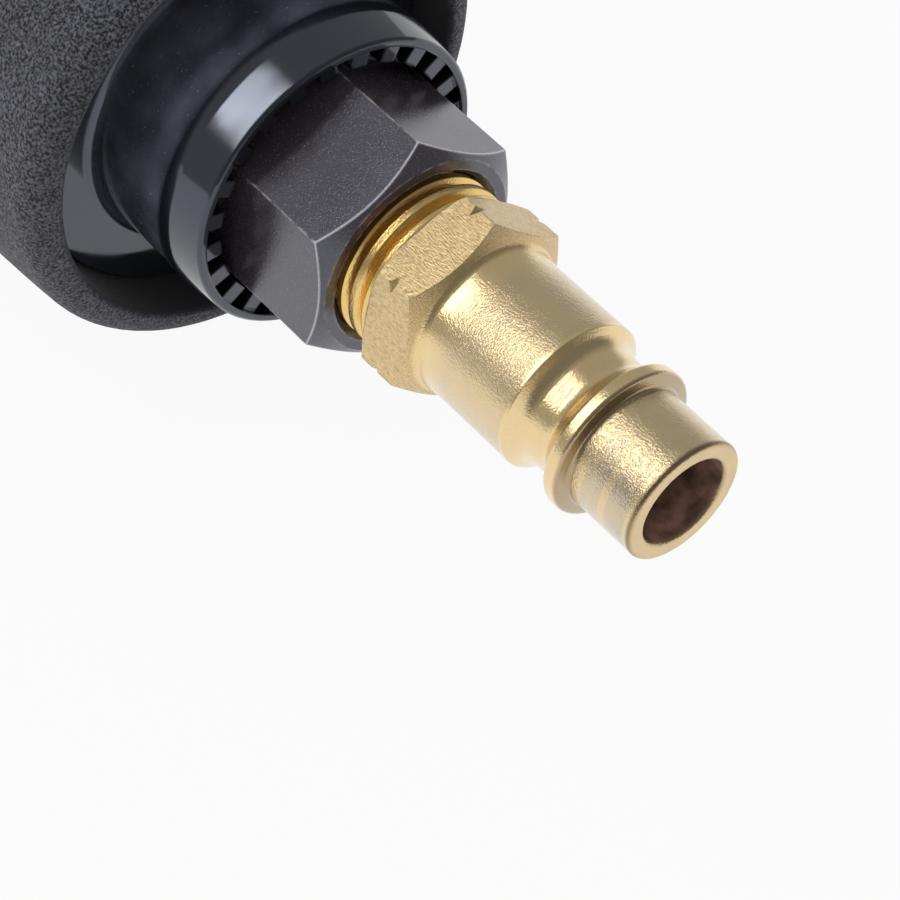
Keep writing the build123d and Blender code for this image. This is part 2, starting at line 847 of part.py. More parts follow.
# Bearings: outer ring, inner ring and balls, rear and front
bearings = (
    ("rear", bulkhead + washer_thick, rear_bearing_bore, rear_bearing_outside,
     rear_ball_radius, rear_ball_count),
    ("front", bearing_front_rear, front_bearing_bore, front_bearing_outside,
     front_ball_radius, front_ball_count),
)
for place, start, bore, outside, ball, count in bearings:
    middle = start + bearing_width / 2
    pitch = (bore + outside) / 2
    land = ball * land_share
    with BuildPart() as outer_ring:
        with BuildSketch(lathe):
            ring(start, start + bearing_width, pitch + land, outside)
            with Locations((middle, pitch)):
                Circle(ball + race_gap, mode=Mode.SUBTRACT)
        revolve(axis=Axis.X)
    save(outer_ring, f"{place}_bearing_outer")
    with BuildPart() as inner_ring:
        with BuildSketch(lathe):
            ring(start, start + bearing_width, bore + fit, pitch - land)
            with Locations((middle, pitch)):
                Circle(ball + race_gap, mode=Mode.SUBTRACT)
        revolve(axis=Axis.X)
    save(inner_ring, f"{place}_bearing_inner")
    with BuildPart() as balls:
        with Locations(across(middle)):
            with PolarLocations(pitch, count):
                Sphere(ball)
        with BuildSketch(lathe):
            ring(middle - ball / 2, middle + ball / 2, pitch - ball / 4, pitch + ball / 4)
        revolve(axis=Axis.X)
    save(balls, f"{place}_bearing_balls")

# Rotor: slotted body with a journal at each end and a threaded nose
with BuildPart() as rotor:
    rotor_rear = cylinder_rear + run_gap
    rotor_front = cylinder_front - run_gap
    with BuildSketch(lathe):
        ring(rotor_rear, rotor_front, 0, rotor_radius)
        ring(bulkhead + washer_thick, rotor_rear, 0, rear_bearing_bore)
        ring(bearing_rear_front, rotor_rear, 0, rear_bearing_bore + shoulder_height)
        ring(rotor_front, plate_front, 0, front_bearing_bore)
        ring(rotor_front, bearing_front_rear, 0, front_bearing_bore + shoulder_height)
        ring(plate_front, shaft_thread_end, 0, shaft_thread_radius)
    revolve(axis=Axis.X)
    with BuildSketch(across(rotor_rear)):
        with PolarLocations(rotor_radius + vane_root / 2, vane_count):
            Rectangle(2 * rotor_radius - vane_root, vane_thick + 2 * fit)
    extrude(amount=rotor_front - rotor_rear, mode=Mode.SUBTRACT)
save(rotor, "rotor")

# Vanes: one blade in each slot, drawn in
with BuildPart() as vanes:
    vane_height = rotor_radius - vane_root - run_gap
    with BuildSketch(across(rotor_rear)):
        with PolarLocations(vane_root + vane_height / 2, vane_count):
            Rectangle(vane_height, vane_thick)
    extrude(amount=rotor_front - rotor_rear)
save(vanes, "vanes")

# Clamp nut: holds the motor in the housing, tapered nose, holes for a pin spanner
with BuildPart() as clamp_nut:
    with BuildSketch(lathe):
        outline(
            (plate_front, clamp_bore),
            (plate_front, motor_bore - fit),
            (grip_front, motor_bore - fit),
            (grip_front, flange_radius - lever_edge),
            (grip_front + lever_edge, flange_radius),
            (flange_front, flange_radius),
            (flange_front + lever_edge, flange_radius - lever_edge),
            (nose_front - nose_land, nose_radius),
            (nose_front - lever_edge, nose_radius),
            (nose_front, nose_radius - lever_edge),
            (nose_front, nose_bore),
            (flange_front, nose_bore),
            (grip_front, clamp_bore),
        )
    revolve(axis=Axis.X)
    for number in range(spanner_holes):
        turn = spanner_hole_turn + number * 360 / spanner_holes
        toward = (0, cos(radians(turn)), sin(radians(turn)))
        hole_x = (grip_front + lever_edge + flange_front) / 2
        start = tuple(flange_radius * value for value in toward)
        with BuildSketch(Plane(origin=(hole_x, start[1], start[2]), z_dir=toward)):
            Circle(spanner_hole_radius)
        extrude(amount=-spanner_hole_depth, mode=Mode.SUBTRACT)
save(clamp_nut, "clamp_nut")

# Chuck: hub on the rotor's nose, spanner flats, thread and taper for the collet
taper = (collet_shoulder_radius - collet_rear_radius) / (collet_length + collet_shoulder)
with BuildPart() as chuck:
    hub_flange_rear = nose_front + free_gap
    hub_flange_front = nut_rear - free_gap
    with BuildSketch(lathe):
        ring(plate_front, plate_front + shoulder_height, 0, front_bearing_bore + shoulder_height)
        ring(plate_front + shoulder_height, hub_flange_rear, 0, hub_radius)
        ring(hub_flange_rear, hub_flange_front, 0, hub_flange_radius)
        ring(hub_flange_front, chuck_face, 0, chuck_thread_radius)
    revolve(axis=Axis.X)
    with BuildSketch(across(hub_flange_rear)):
        with PolarLocations(hub_flats / 2 + hub_radius, 2):
            Rectangle(2 * hub_radius, 4 * hub_radius)
    extrude(amount=hub_flange_front - hub_flange_rear, mode=Mode.SUBTRACT)
    with BuildSketch(lathe):
        ring(plate_front, shaft_thread_end, 0, shaft_thread_radius + fit)
        outline(
            (-collet_length, 0),
            (-collet_length, collet_rear_radius + fit),
            (chuck_face, collet_rear_radius + fit + taper * (collet_length + chuck_face)),
            (chuck_face, 0),
        )
        ring(shaft_thread_end, -collet_length, 0, collet_bore + free_gap)
    revolve(axis=Axis.X, mode=Mode.SUBTRACT)
save(chuck, "chuck")

# Collet: tapered both ways, slit from the mouth
with BuildPart() as collet:
    with BuildSketch(lathe):
        outline(
            (-collet_length, collet_bore),
            (-collet_length, collet_rear_radius),
            (collet_shoulder, collet_shoulder_radius),
            (0, collet_face_radius),
            (0, collet_bore),
        )
    revolve(axis=Axis.X)
    with BuildSketch(across(collet_slit_end)):
        with PolarLocations(collet_shoulder_radius, collet_slits, collet_slit_turn):
            Rectangle(2 * collet_shoulder_radius, collet_slit_width)
    extrude(amount=-collet_slit_end, mode=Mode.SUBTRACT)
save(collet, "collet")

# Collet nut: hex at the rear, tapered nose, taper inside that closes the collet
with BuildPart() as collet_nut:
    nut_corner = nut_across_flats / 2 / cos(radians(30))
    nut_cut = nut_corner + hex_margin
    with BuildSketch(across(nut_rear)):
        RegularPolygon(nut_corner, 6)
    extrude(amount=nut_hex_front - nut_rear)
    with BuildSketch(lathe):
        outline(
            (nut_hex_front, nut_across_flats / 2),
            (nut_hex_front, nut_cut),
            (nut_hex_front - nut_chamfer, nut_cut),
        )
        outline(
            (nut_rear, nut_across_flats / 2),
            (nut_rear, nut_cut),
            (nut_rear + nut_chamfer, nut_cut),
        )
    revolve(axis=Axis.X, mode=Mode.SUBTRACT)
    with BuildSketch(lathe):
        outline(
            (nut_hex_front, 0),
            (nut_hex_front, nut_neck_radius),
            (0, nut_face_radius),
            (0, 0),
        )
    revolve(axis=Axis.X)
    with BuildSketch(lathe):
        ring(nut_rear, collet_shoulder, 0, chuck_thread_radius + run_gap)
        outline(
            (collet_shoulder, 0),
            (collet_shoulder, collet_shoulder_radius + run_gap),
            (0, collet_face_radius + run_gap),
            (0, 0),
        )
    revolve(axis=Axis.X, mode=Mode.SUBTRACT)
save(collet_nut, "collet_nut")

# Throttle lever: tongue on the pin, flat bar with an upturned lip, slot for the latch
lever_plane = Plane(origin=(pivot_x, 0, pivot_z), x_dir=(cos(lean), 0, sin(lean)), z_dir=(0, -1, 0))
with BuildPart() as throttle_lever:
    with BuildSketch(lever_plane):
        outline(
            (tongue_length, lever_under),
            (lever_bend, lever_under),
            (lever_length, lever_under + lever_lip),
            (lever_length, lever_over + lever_lip),
            (lever_bend, lever_over),
            (tongue_length, lever_over),
        )
    extrude(amount=lever_width / 2, both=True)
    crossing = throttle_lever.edges().filter_by(Axis.Y)
    fillet(crossing.group_by(Axis.X)[-1] + crossing.group_by(Axis.X)[-2], lever_edge)
    bend_x = pivot_x + lever_bend * cos(lean)
    bends = throttle_lever.edges().filter_by(Axis.Y)
    bends = bends.filter_by_position(Axis.X, bend_x - lever_over, bend_x + lever_over)
    fillet(bends, lever_bend_round)
    fillet(throttle_lever.faces().sort_by(Axis.Y)[0].edges(), lever_edge)
    fillet(throttle_lever.faces().sort_by(Axis.Y)[-1].edges(), lever_edge)
    with BuildSketch(lever_plane):
        with Locations((tongue_length / 2 + lever_edge, (lever_under + lever_over) / 2)):
            Rectangle(tongue_length + 2 * lever_edge, lever_over - lever_under)
        Circle(lever_boss)
    extrude(amount=tongue_width / 2, both=True)
    with BuildSketch(lever_plane):
        Circle(lever_pin_radius + fit)
        with Locations((latch_arm, latch_height)):
            Circle(latch_pin_radius + fit)
    extrude(amount=lever_width, both=True, mode=Mode.SUBTRACT)
    with BuildSketch(lever_plane):
        with Locations((latch_arm + (latch_slot_front - latch_slot_rear) / 2, 0)):
            Rectangle(latch_slot_front + latch_slot_rear, 4 * lever_over)
    extrude(amount=latch_width / 2 + free_gap, both=True, mode=Mode.SUBTRACT)
save(throttle_lever, "throttle_lever")

# Lever pin
with BuildPart() as lever_pin:
    with BuildSketch(upright(pivot_x, pivot_z)):
        Circle(lever_pin_radius)
    extrude(amount=bracket_width / 2, both=True)
save(lever_pin, "lever_pin")

# Safety latch: foot that stands over the grip, tab above the lever
latch_at = lever_plane.from_local_coords((latch_arm, latch_height))
latch_toe = latch_at.Z - grip_waist_radius - latch_foot_gap - latch_blade / 2
latch_plane = upright(latch_at.X, latch_at.Z)
with BuildPart() as safety_latch:
    with BuildSketch(latch_plane):
        Circle(latch_boss)
        with Locations((0, -latch_toe / 2)):
            Rectangle(latch_blade, latch_toe)
        with Locations((0, -latch_toe)):
            Circle(latch_blade / 2)
        with Locations(Location((0, 0), latch_lean)):
            with Locations((0, latch_tab / 2)):
                Rectangle(latch_blade, latch_tab)
    extrude(amount=latch_width / 2, both=True)
    with BuildSketch(latch_plane):
        Circle(latch_pin_radius + fit)
    extrude(amount=latch_width, both=True, mode=Mode.SUBTRACT)
    with BuildSketch(latch_plane.offset(latch_width / 2)):
        Circle(latch_pocket)
    extrude(amount=-latch_pocket_depth, mode=Mode.SUBTRACT)
save(safety_latch, "safety_latch")

# Latch pin
with BuildPart() as latch_pin:
    with BuildSketch(latch_plane):
        Circle(latch_pin_radius)
    extrude(amount=lever_width / 2 - lever_edge, both=True)
save(latch_pin, "latch_pin")

# Latch spring: close coil round the pin in the latch's pocket
with BuildPart() as latch_spring:
    coil_pitch = 2 * latch_spring_wire + fit
    with BuildLine() as latch_coil:
        Helix(
            coil_pitch,
            coil_pitch * latch_spring_turns - fit,
            latch_pin_radius + fit + latch_spring_wire,
            center=(latch_at.X, -latch_width / 2 + latch_spring_wire, latch_at.Z),
            direction=(0, 1, 0),
        )
    with BuildSketch(Plane(origin=latch_coil.line @ 0, z_dir=latch_coil.line % 0)):
        Circle(latch_spring_wire)
    sweep(is_frenet=True)
save(latch_spring, "latch_spring")
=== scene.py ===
"""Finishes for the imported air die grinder, its ribs, knurls and valve coil, and a studio stage."""

import json
import math

import bpy
from bpy.props import FloatProperty, FloatVectorProperty, IntProperty, PointerProperty
from mathutils import Matrix, Vector


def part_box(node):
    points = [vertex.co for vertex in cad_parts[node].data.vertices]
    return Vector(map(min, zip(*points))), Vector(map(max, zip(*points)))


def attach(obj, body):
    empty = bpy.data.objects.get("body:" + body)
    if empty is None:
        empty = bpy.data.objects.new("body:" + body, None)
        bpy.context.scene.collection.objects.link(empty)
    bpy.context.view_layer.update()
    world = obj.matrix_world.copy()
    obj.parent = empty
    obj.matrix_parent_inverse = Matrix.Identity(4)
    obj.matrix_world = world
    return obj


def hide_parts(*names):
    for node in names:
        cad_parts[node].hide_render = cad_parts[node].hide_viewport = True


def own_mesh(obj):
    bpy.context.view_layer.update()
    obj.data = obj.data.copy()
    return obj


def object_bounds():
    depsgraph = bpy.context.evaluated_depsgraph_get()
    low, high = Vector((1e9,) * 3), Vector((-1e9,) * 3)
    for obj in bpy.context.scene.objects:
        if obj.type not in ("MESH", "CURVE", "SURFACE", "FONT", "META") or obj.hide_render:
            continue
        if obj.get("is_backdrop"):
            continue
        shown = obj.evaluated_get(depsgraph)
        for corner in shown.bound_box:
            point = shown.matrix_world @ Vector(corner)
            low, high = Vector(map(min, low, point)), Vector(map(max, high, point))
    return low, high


bl_info = {
    "name": "Air die grinder",
    "version": (1, 0, 0),
    "blender": (4, 5, 0),
    "location": "View3D > Sidebar > Grinder",
    "description": "Dresses the packed air die grinder and sets its stage",
    "category": "Object",
}

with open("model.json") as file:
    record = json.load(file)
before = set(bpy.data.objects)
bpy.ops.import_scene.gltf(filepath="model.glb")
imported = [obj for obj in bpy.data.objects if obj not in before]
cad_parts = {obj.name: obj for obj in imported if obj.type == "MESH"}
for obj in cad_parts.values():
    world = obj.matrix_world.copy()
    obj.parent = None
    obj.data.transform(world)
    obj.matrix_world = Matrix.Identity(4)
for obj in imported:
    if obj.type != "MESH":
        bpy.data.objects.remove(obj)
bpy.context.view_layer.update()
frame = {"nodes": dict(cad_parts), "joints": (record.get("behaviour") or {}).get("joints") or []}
PLUG_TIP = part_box("air_plug")[0][0]
BUSHING_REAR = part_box("inlet_bushing")[0][0]
LEVER_PIN = next(joint["pos_m"] for joint in frame["joints"] if joint["name"] == "lever_press")
GRIP_LIP = 0.0171
BAND_FRONT = -0.1598

# Stretches of the plug, measured from its tip
PLUG_SPIGOT = (0.0, 0.0056)
PLUG_BARREL = (0.0005, 0.0056)
PLUG_RIM = (0.00018, 0.0003)
PLUG_FILM = (0.0008, 0.0047)
PLUG_CLEAR_RING = (0.0026, 0.003)
PLUG_COLLAR_FRONT = (0.0057, 0.0061)
PLUG_FLATS = (0.0201, 0.0244)
PLUG_BORE = (0.00345, 0.0034)
SOFT_EDGE = 0.0002


def colour(name, description, value):
    """A colour that a user may change."""
    return FloatVectorProperty(
        name=name, description=description, subtype="COLOR", size=3, min=0.0, max=1.0, default=value
    )


def length(name, description, value):
    """A size in metres that a user may change."""
    return FloatProperty(name=name, description=description, unit="LENGTH", precision=5, default=value)


class GrinderGripLook(bpy.types.PropertyGroup):
    """The soft grained sleeve."""

    base: colour("Base", "Hollows of the grain", (0.006, 0.006, 0.009))
    crest: colour("Crest", "Tops of the grain", (0.2, 0.203, 0.255))
    speck: colour("Speck", "Light points of the grain", (0.3, 0.3, 0.34))
    lining: colour("Lining", "Smooth inside of the sleeve", (0.014, 0.013, 0.019))
    grain: length("Grain", "Size of one grain", 0.00021)
    relief: length("Relief", "Height of the grain", 0.00026)


class GrinderBlackLook(bpy.types.PropertyGroup):
    """The glossy cap, the black bushing and the other black metal."""

    gloss: colour("Gloss", "Moulded exhaust cap", (0.01, 0.011, 0.016))
    haze: colour("Haze", "Dusty film on the exhaust cap", (0.12, 0.124, 0.162))
    oxide: colour("Oxide", "Blacked steel of the bushing", (0.058, 0.047, 0.057))
    # Dust specks on the cap; on the bushing, bright points that are partly dust and partly painted glints of
    # the soft box.
    dust_and_glint: colour("Glint", "Bright points in blacked steel", (0.5, 0.48, 0.52))
    # Rubbed wear on the edges of the nose, nut and lever; on the bushing the same colour is partly wear and
    # partly a painted highlight along its edges.
    edge: colour("Edge", "Rubbed edges of blacked steel", (0.85, 0.86, 0.93))
    sheen: colour("Sheen", "Cool tint of the gloss", (0.79, 0.85, 1.0))
    paint: colour("Paint", "Painted lever and nose", (0.02, 0.02, 0.023))
    edge_width: length("Edge width", "Width of the rubbed edges", 0.00024)


class GrinderMetalLook(bpy.types.PropertyGroup):
    """Brass and steel."""

    brass: colour("Brass", "Clean brass", (0.86, 0.65, 0.33))
    # Dirt in the pits of the flats and in the air passage, painted shade on the collar's front face, and a
    # dark line at the rim that is partly grime and partly a painted dark reflection.
    grime_and_shade: colour("Grime", "Dark patches in the air passage and corners", (0.2, 0.13, 0.08))
    tarnish: colour("Tarnish", "Dulled brass", (0.52, 0.435, 0.34))
    residue: colour("Residue", "Brown film in the air passage", (0.75, 0.45, 0.36))
    # Deeper gold painted on the pipe thread, standing in for light bouncing between its flanks.
    thread: colour("Thread", "Deep gold of the pipe thread", (0.88, 0.6, 0.22))
    steel: colour("Steel", "Turned steel", (0.56, 0.56, 0.57))
    alloy: colour("Alloy", "Housing alloy", (0.11, 0.11, 0.12))
    turning: length("Turning", "Pitch of the turned lines", 0.00009)


class GrinderRibSizes(bpy.types.PropertyGroup):
    """Finger ribs on the lever, knurls round the clamp nut, and the valve spring."""

    lever_ribs: IntProperty(name="Lever ribs", description="Ribs across the lever", min=1, default=8)
    rib_start: length("Rib start", "From the lever's pin to the first rib", 0.043)
    rib_pitch: length("Rib pitch", "Distance between lever ribs", 0.0024)
    rib_height: length("Rib height", "Middle of a rib above the pin", 0.00245)
    rib_lean: FloatProperty(
        name="Rib lean", description="Lean of the lever at rest", subtype="ANGLE", default=math.radians(10)
    )
    rib_radius: length("Rib radius", "Half width of a lever rib", 0.0007)
    rib_width: length("Rib width", "Length of a rib across the lever", 0.0102)
    knurls: IntProperty(name="Knurls", description="Knurls round the clamp nut", min=8, default=60)
    knurl_station: length("Knurl station", "Middle of the knurls along the spindle", -0.04405)
    knurl_circle: length("Knurl circle", "From the spindle to the middle of a knurl", 0.01865)
    knurl_radius: length("Knurl radius", "Half width of a knurl", 0.0006)
    knurl_length: length("Knurl length", "Length of a knurl along the spindle", 0.0034)
    knurl_gap: FloatProperty(
        name="Knurl gap", description="Part of a quarter turn left clear by a spanner hole", default=0.18
    )
    spring_wire: length("Spring wire", "Half thickness of the valve spring's wire", 0.000325)
    spring_turns: FloatProperty(name="Spring turns", description="Turns of the valve spring", default=6.0)


class GrinderStage(bpy.types.PropertyGroup):
    """Camera and light."""

    lens: FloatProperty(name="Lens", description="Focal length in millimetres", default=120.514)
    eye: FloatVectorProperty(
        name="Eye",
        description="Camera place from the tip of the plug",
        subtype="TRANSLATION",
        unit="LENGTH",
        precision=5,
        default=(-0.080116, 0.084971, 0.152625),
    )
    turn: FloatVectorProperty(
        name="Turn",
        description="Camera rotation",
        subtype="EULER",
        default=(math.radians(38.203), 0.0, math.radians(-129.337)),
    )
    key: FloatProperty(name="Key", description="Power of the soft box", unit="POWER", default=0.7)
    key_from: FloatVectorProperty(
        name="Key from",
        description="Direction from the plug to the soft box",
        subtype="DIRECTION",
        default=(0.4, 0.453, 0.795),
    )
    key_distance: length("Key distance", "From the plug to the soft box", 0.55)
    key_length: length("Key length", "Long side of the soft box", 0.51)
    key_width: length("Key width", "Short side of the soft box", 0.072)
    bounce: FloatProperty(name="Bounce", description="Power of the bounce card", unit="POWER", default=0.55)
    bounce_size: length("Bounce size", "Side of the bounce card", 0.3)
    ambient: FloatProperty(name="Ambient", description="Strength of the surrounding light", default=0.45)
    floor_glow: FloatProperty(name="Floor glow", description="White share of the floor as seen", default=0.93)
    hood_dark: FloatProperty(name="Hood dark", description="Hood's level on the camera's side", default=0.2)
    hood_light: FloatProperty(name="Hood light", description="Hood's level on the far side", default=0.4)


class Graph:
    """Short calls that add nodes to a tree."""

    def node(self, kind, **values):
        """A new node, with properties set by name."""
        made = self.tree.nodes.new(kind)
        for key, value in values.items():
            setattr(made, key, value)
        return made

    def join(self, source, target):
        """A link from an output, or a plain value, to an input."""
        if isinstance(source, bpy.types.NodeSocket):
            self.tree.links.new(source, target)
        else:
            target.default_value = source


class Grown(Graph):
    """A geometry node tree with named inputs, whose result becomes a plain mesh."""

    def __init__(self, name):
        self.name = name
        self.tree = bpy.data.node_groups.new(name, "GeometryNodeTree")
        self.tree.interface.new_socket("Shape", in_out="OUTPUT", socket_type="NodeSocketGeometry")
        self.group = self.node("NodeGroupInput")
        self.values = {}

    def ask(self, name, kind, value):
        """A named input, and the value that the modifier gives it."""
        socket = self.tree.interface.new_socket(name, in_out="INPUT", socket_type=f"NodeSocket{kind}")
        self.values[socket.identifier] = value
        return self.group.outputs[name]

    def put(self, kind, inputs, **values):
        """The first output of a new node whose inputs are linked or set."""
        made = self.node(kind, **values)
        for key, source in inputs.items():
            self.join(source, made.inputs[key])
        return made.outputs[0]

    def bake(self, shape, finish, body):
        """The shape as one plain mesh that rides a body."""
        shape = self.put("GeometryNodeSetShadeSmooth", {"Geometry": shape})
        shape = self.put("GeometryNodeRealizeInstances", {"Geometry": shape})
        shape = self.put("GeometryNodeSetMaterial", {"Geometry": shape, "Material": finish.material})
        self.join(shape, self.node("NodeGroupOutput").inputs[0])
        made = bpy.data.objects.new(self.name, bpy.data.meshes.new(self.name))
        bpy.context.scene.collection.objects.link(made)
        modifier = made.modifiers.new("shape", "NODES")
        modifier.node_group = self.tree
        for key, value in self.values.items():
            modifier[key] = value
        graph = bpy.context.evaluated_depsgraph_get()
        mesh = bpy.data.meshes.new_from_object(made.evaluated_get(graph))
        if not mesh.polygons:
            raise RuntimeError(f"{self.name} has no faces")
        made.modifiers.clear()
        made.data = mesh
        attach(made, body)
        return made


class Bars(Grown):
    """Round-ended bars on a row or a ring of points."""

    def __init__(self, name, radius, size):
        super().__init__(name)
        self.radius = self.ask("Radius", "Float", radius)
        self.stretch = self.ask("Stretch", "Vector", (0.0, 0.0, size / 2 - radius))

    def bar(self):
        """One bar along Z: a ball whose halves are drawn apart."""
        ball = self.put("GeometryNodeMeshUVSphere", {"Segments": 12, "Rings": 7, "Radius": self.radius})
        half = self.put(
            "ShaderNodeVectorMath", {0: self.put("GeometryNodeInputPosition", {})}, operation="SIGN"
        )
        shift = self.put("ShaderNodeVectorMath", {0: half, 1: self.stretch}, operation="MULTIPLY")
        return self.put("GeometryNodeSetPosition", {"Geometry": ball, "Offset": shift})

    def grow(self, points, chosen, turn, finish, body):
        """The bars on the chosen points."""
        places = {"Points": points, "Selection": chosen, "Instance": self.bar(), "Rotation": turn}
        return self.bake(self.put("GeometryNodeInstanceOnPoints", places), finish, body)


class Finish(Graph):
    """A material with one Principled shader and short calls that add its pattern."""

    def __init__(self, name, base, metallic=0.0, roughness=0.5):
        self.material = bpy.data.materials.new(name)
        self.material.use_nodes = True
        self.tree = self.material.node_tree
        self.shader = self.tree.nodes["Principled BSDF"]
        self.set("Base Color", (*base, 1.0))
        self.set("Metallic", metallic)
        self.set("Roughness", roughness)
        self.place = self.node("ShaderNodeTexCoord").outputs["Object"]
        self.normal = None

    def set(self, socket, value):
        """A value or a link on one of the shader's sockets."""
        self.join(value, self.shader.inputs[socket])

    def noise(self, size, detail=2.0, stretch=(1.0, 1.0, 1.0)):
        """Soft noise whose lumps measure size, drawn out along each axis by stretch."""
        mapping = self.node("ShaderNodeMapping")
        self.join(self.place, mapping.inputs["Vector"])
        mapping.inputs["Scale"].default_value = [1.0 / (size * pull) for pull in stretch]
        made = self.node("ShaderNodeTexNoise")
        self.join(mapping.outputs["Vector"], made.inputs["Vector"])
        made.inputs["Scale"].default_value = 1.0
        made.inputs["Detail"].default_value = detail
        return made.outputs["Fac"]

    def span(self, value, low, high, start=0.0, end=1.0):
        """Value carried from low..high to start..end, held at the ends."""
        made = self.node("ShaderNodeMapRange")
        self.join(value, made.inputs["Value"])
        made.inputs["From Min"].default_value = low
        made.inputs["From Max"].default_value = high
        made.inputs["To Min"].default_value = start
        made.inputs["To Max"].default_value = end
        return made.outputs["Result"]

    def sum(self, operation, first, second):
        """One arithmetic step."""
        made = self.node("ShaderNodeMath", operation=operation)
        self.join(first, made.inputs[0])
        self.join(second, made.inputs[1])
        return made.outputs["Value"]

    def mix(self, share, first, second):
        """Two colours mixed by share."""
        made = self.node("ShaderNodeMix", data_type="RGBA")
        self.join(share, made.inputs[0])
        for value, socket in ((first, made.inputs[6]), (second, made.inputs[7])):
            self.join(value if isinstance(value, bpy.types.NodeSocket) else (*value, 1.0), socket)
        return made.outputs[2]

    def along(self, axis):
        """One coordinate of the place, 0 for X."""
        made = self.node("ShaderNodeSeparateXYZ")
        self.join(self.place, made.inputs[0])
        return made.outputs[axis]

    def off_axis(self):
        """Distance from the spindle axis."""
        made = self.node("ShaderNodeVectorMath", operation="MULTIPLY")
        self.join(self.place, made.inputs[0])
        made.inputs[1].default_value = (0.0, 1.0, 1.0)
        size = self.node("ShaderNodeVectorMath", operation="LENGTH")
        self.join(made.outputs["Vector"], size.inputs[0])
        return size.outputs["Value"]

    def band(self, value, low, high):
        """1 between low and high, and 0 outside."""
        rise = self.span(value, low - SOFT_EDGE, low)
        return self.sum("MULTIPLY", rise, self.span(value, high + SOFT_EDGE, high))

    def relief(self, height, depth):
        """Bump of the given depth in metres, added over any earlier one."""
        made = self.node("ShaderNodeBump")
        self.join(height, made.inputs["Height"])
        made.inputs["Distance"].default_value = depth
        if self.normal:
            self.join(self.normal, made.inputs["Normal"])
        self.normal = made.outputs["Normal"]
        self.set("Normal", self.normal)

    def edges(self, width, full=0.9):
        """1 along sharp edges and 0 away from them, whole where the bend's cosine is full."""
        rounded = self.node("ShaderNodeBevel", samples=6)
        rounded.inputs["Radius"].default_value = width
        plain = self.node("ShaderNodeNewGeometry")
        dot = self.node("ShaderNodeVectorMath", operation="DOT_PRODUCT")
        self.join(rounded.outputs["Normal"], dot.inputs[0])
        self.join(plain.outputs["Normal"], dot.inputs[1])
        return self.span(dot.outputs["Value"], 0.995, full)

    def soften(self, width):
        """Shading as if sharp edges were rounded by width."""
        made = self.node("ShaderNodeBevel", samples=6)
        made.inputs["Radius"].default_value = width
        self.normal = made.outputs["Normal"]
        self.set("Normal", self.normal)


def dress(nodes, finish):
    """Gives CAD nodes a finish."""
    for name in nodes:
        for slot in frame["nodes"][name].material_slots:
            slot.material = finish.material


def turned(finish, size, depth):
    """Fine lines left round the axis by turning."""
    lines = finish.noise(size, 1.0, (1.0, 60.0, 60.0))
    finish.relief(lines, depth)
    return lines


class GRINDER_OT_grip(bpy.types.Operator):
    """Dress the grained grip sleeve"""

    bl_idname = "grinder.grip"
    bl_label = "Grip"

    def execute(self, context):
        look = context.scene.grinder_grip
        skin = Finish("grip_grained_rubber", look.base, 0.0, 0.7)
        grain = skin.noise(look.grain, 3.0)
        patches = skin.noise(0.006, 2.0)
        tone = skin.span(grain, 0.39, 0.66)
        tone = skin.sum("MULTIPLY", tone, skin.span(patches, 0.3, 0.7, 0.75, 1.0))
        points = skin.span(skin.noise(1.4 * look.grain, 1.0), 0.68, 0.78, 0.0, 0.7)
        ground = skin.mix(tone, look.base, look.crest)
        outside = skin.span(skin.off_axis(), GRIP_LIP, GRIP_LIP + 0.0004)
        skin.set("Base Color", skin.mix(outside, look.lining, skin.mix(points, ground, look.speck)))
        skin.set("Roughness", skin.span(grain, 0.3, 0.7, 0.8, 0.55))
        skin.set("Specular IOR Level", 0.4)
        skin.set("Sheen Weight", 0.2)
        skin.relief(skin.sum("MULTIPLY", grain, outside), look.relief)
        dress(["grip_sleeve"], skin)
        return {"FINISHED"}


class GRINDER_OT_cap(bpy.types.Operator):
    """Dress the glossy exhaust cap and its felt"""

    bl_idname = "grinder.cap"
    bl_label = "Exhaust cap"

    def execute(self, context):
        look = context.scene.grinder_black
        gloss = Finish("cap_gloss_plastic", look.gloss, 0.0, 0.1)
        smear = gloss.noise(0.004, 3.0)
        inside = gloss.span(gloss.off_axis(), 0.0127, 0.0123)
        inside = gloss.sum("MULTIPLY", inside, gloss.span(gloss.along(0), BAND_FRONT - 0.0004, BAND_FRONT))
        haze = gloss.sum("MULTIPLY", gloss.span(smear, 0.3, 0.7, 0.3, 1.0), inside)
        dust = gloss.sum("MULTIPLY", gloss.span(gloss.noise(0.00022, 2.0), 0.68, 0.76, 0.0, 0.5), inside)
        ground = gloss.mix(haze, look.gloss, look.haze)
        gloss.set("Base Color", gloss.mix(dust, ground, look.dust_and_glint))
        gloss.set("Roughness", gloss.span(smear, 0.3, 0.75, 0.07, 0.14))
        gloss.set("IOR", 1.55)
        gloss.set("Specular IOR Level", 1.0)
        gloss.set("Specular Tint", (*look.sheen, 1.0))
        gloss.soften(0.00025)
        gloss.relief(gloss.noise(0.0025, 1.0), 0.000006)
        dress(["exhaust_cap"], gloss)

        felt = Finish("silencer_felt", (0.34, 0.33, 0.31), 0.0, 0.95)
        hairs = felt.noise(0.0002, 4.0, (1.0, 6.0, 2.0))
        felt.set("Base Color", felt.mix(hairs, (0.22, 0.21, 0.2), (0.5, 0.49, 0.46)))
        felt.relief(hairs, 0.0001)
        dress(["silencer"], felt)
        return {"FINISHED"}


